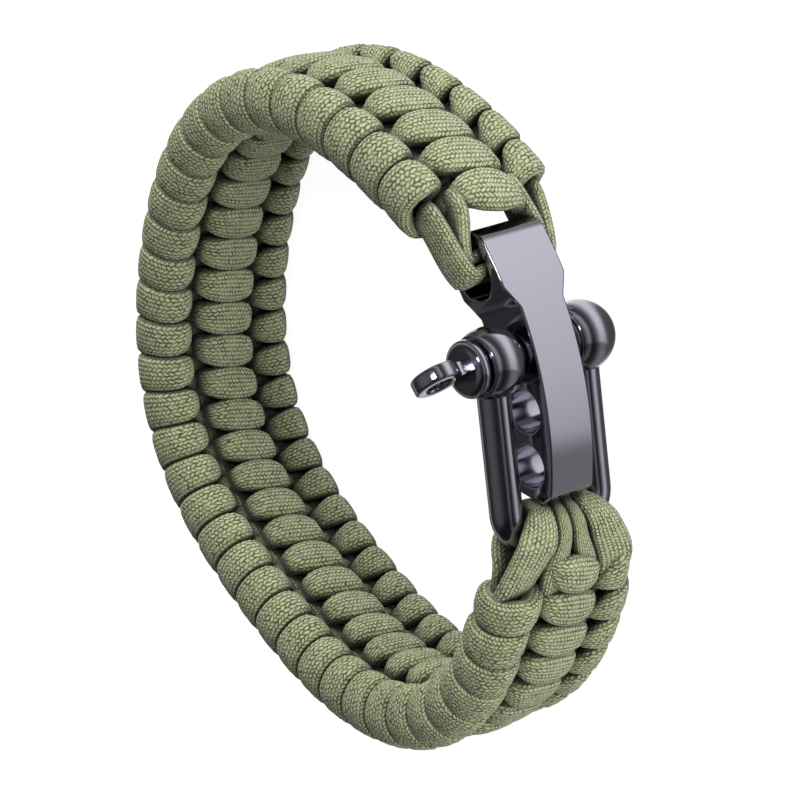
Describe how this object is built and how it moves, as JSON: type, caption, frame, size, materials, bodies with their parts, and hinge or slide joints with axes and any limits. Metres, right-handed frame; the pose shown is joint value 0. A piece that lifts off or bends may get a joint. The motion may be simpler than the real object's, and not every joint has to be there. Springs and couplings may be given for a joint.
{
  "type": "paracord bracelet",
  "caption": "Woven cord bracelet lying on its side: a ribbed flat band closed by a bow shackle, whose screw pin passes through a curved adaptor bar with spare holes for size.",
  "frame": {"origin": "centre of the wrist opening, on the floor the bracelet lies on", "axes": "+Z along the wrist opening's axis, from the floor towards the pin's eye tab; +Y towards the clasp; +X from the adaptor's slot towards the bow's bottom"},
  "size_m": [0.0865, 0.0758, 0.029],
  "materials": {
    "cord": "braided olive nylon sheath, matt with a faint sheen",
    "end_cord": "braided olive nylon sheath, pressed flat",
    "adaptor_metal": "polished black nickel plate",
    "bow_metal": "polished black nickel plate",
    "pin_metal": "polished black nickel plate"
  },
  "bodies": {
    "bracelet": {"woven_band": "cord", "adaptor": "adaptor_metal", "shackle_bow": "bow_metal", "adaptor_loop_inner": "end_cord", "adaptor_loop_outer": "end_cord", "shackle_cord_near": "end_cord", "shackle_cord_near_middle": "end_cord", "shackle_cord_far_middle": "end_cord", "shackle_cord_far": "end_cord"},
    "pin": {"screw_pin": "pin_metal"}
  },
  "joints": [
    {"name": "pin_draw", "type": "slide", "parent": "bracelet", "child": "pin", "axis": [0, 0, 1], "range_m": [0, 0.018]}
  ]
}
